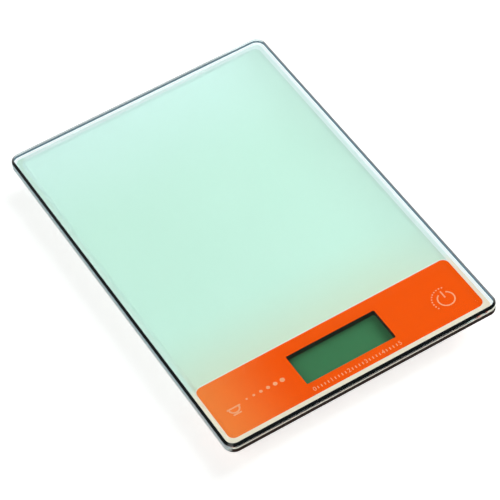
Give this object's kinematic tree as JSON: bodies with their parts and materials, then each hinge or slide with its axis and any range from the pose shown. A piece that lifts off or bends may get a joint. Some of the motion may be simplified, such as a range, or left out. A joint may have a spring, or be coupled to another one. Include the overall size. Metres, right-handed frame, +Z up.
{
  "type": "kitchen scale",
  "caption": "Slim kitchen scale: a clear glass platform with mint and orange back printing and a display window, bonded to a shallow housing on sprung sensor feet.",
  "frame": {"origin": "on the surface the scale stands on, under the centre of the glass platform", "axes": "+X to the user's right, +Y from the display end to the back, along the longest side, +Z up"},
  "size_m": [0.15, 0.22, 0.019],
  "materials": {
    "platform_glass": "clear tempered glass, polished arris",
    "mint_ink": "pale mint ceramic ink on the back of the glass",
    "band_ink": "orange ceramic ink on the back of the glass",
    "border_ink": "off-white ceramic ink on the back of the glass",
    "foam_tape": "white double-sided foam tape",
    "copper_foil": "bare copper foil",
    "housing_plastic": "white moulded ABS, fine satin texture",
    "cover_plastic": "white moulded ABS, fine satin texture",
    "door_plastic": "white moulded ABS, fine satin texture",
    "screw_steel": "zinc-plated steel",
    "frame_plastic": "black moulded ABS",
    "display_green": "dark green display glass, switched off",
    "guide_plastic": "pale green acrylic",
    "zebra_rubber": "pink silicone with black stripes",
    "board_laminate": "green solder mask",
    "component_body": "ceramic and tinned component bodies",
    "epoxy_black": "black epoxy",
    "switch_plastic": "black nylon",
    "plunger_plastic": "amber nylon",
    "button_plastic": "grey ABS",
    "cell_steel": "nickel-plated steel can",
    "contact_metal": "nickel-plated phosphor bronze",
    "red_sleeve": "red PVC insulation",
    "black_sleeve": "black PVC insulation",
    "gauge_film": "amber gauge film under clear resin",
    "load_cell_steel": "nickel-plated spring steel",
    "bracket_plastic": "white moulded ABS",
    "lead_sleeve": "flat insulated lead",
    "foot_plastic": "light grey moulded ABS",
    "pad_rubber": "dark grey soft rubber"
  },
  "bodies": {
    "scale": {"glass_platform": "platform_glass", "mint_print": "mint_ink", "band_print": "band_ink", "border_print": "border_ink", "bonding_tape": "foam_tape", "touch_electrode": "copper_foil", "upper_housing": "housing_plastic", "base_cover": "cover_plastic", "cover_screws": "screw_steel", "display_frame": "frame_plastic", "display_glass": "display_green", "light_guide": "guide_plastic", "zebra_strip": "zebra_rubber", "main_board": "board_laminate", "board_parts": "component_body", "chip_blob": "epoxy_black", "board_screws": "screw_steel", "switch_body": "switch_plastic", "coin_cell": "cell_steel", "positive_contact": "contact_metal", "negative_contact": "contact_metal", "positive_lead": "red_sleeve", "negative_lead": "black_sleeve", "strain_gauges": "gauge_film", "bracket_screws": "screw_steel", "load_cell_front_left": "load_cell_steel", "load_cell_front_right": "load_cell_steel", "load_cell_back_left": "load_cell_steel", "load_cell_back_right": "load_cell_steel", "cell_bracket_front_left": "bracket_plastic", "cell_bracket_front_right": "bracket_plastic", "cell_bracket_back_left": "bracket_plastic", "cell_bracket_back_right": "bracket_plastic", "cell_lead_front_left": "lead_sleeve", "cell_lead_front_right": "lead_sleeve", "cell_lead_back_left": "lead_sleeve", "cell_lead_back_right": "lead_sleeve"},
    "foot_front_left": {"foot_front_left": "foot_plastic", "foot_pad_front_left": "pad_rubber"},
    "foot_front_right": {"foot_front_right": "foot_plastic", "foot_pad_front_right": "pad_rubber"},
    "foot_back_left": {"foot_back_left": "foot_plastic", "foot_pad_back_left": "pad_rubber"},
    "foot_back_right": {"foot_back_right": "foot_plastic", "foot_pad_back_right": "pad_rubber"},
    "battery_door": {"battery_door": "door_plastic"},
    "unit_button": {"unit_button": "button_plastic", "switch_plunger": "plunger_plastic"}
  },
  "joints": [
    {"name": "foot_travel_front_left", "type": "slide", "parent": "scale", "child": "foot_front_left", "axis": [0, 0, 1], "range_m": [0, 0.0005], "stiffness_N_per_m": 40000, "deforming": ["load_cell_front_left"]},
    {"name": "foot_travel_front_right", "type": "slide", "parent": "scale", "child": "foot_front_right", "axis": [0, 0, 1], "range_m": [0, 0.0005], "stiffness_N_per_m": 40000, "deforming": ["load_cell_front_right"]},
    {"name": "foot_travel_back_left", "type": "slide", "parent": "scale", "child": "foot_back_left", "axis": [0, 0, 1], "range_m": [0, 0.0005], "stiffness_N_per_m": 40000, "deforming": ["load_cell_back_left"]},
    {"name": "foot_travel_back_right", "type": "slide", "parent": "scale", "child": "foot_back_right", "axis": [0, 0, 1], "range_m": [0, 0.0005], "stiffness_N_per_m": 40000, "deforming": ["load_cell_back_right"]},
    {"name": "battery_door_hinge", "type": "hinge", "parent": "scale", "child": "battery_door", "pos_m": [0, 0.0173, 0.0027], "axis": [1, 0, 0], "range_deg": [0, 80]},
    {"name": "unit_button_press", "type": "slide", "parent": "scale", "child": "unit_button", "axis": [0, 0, 1], "range_m": [0, 0.00025], "stiffness_N_per_m": 6000}
  ]
}
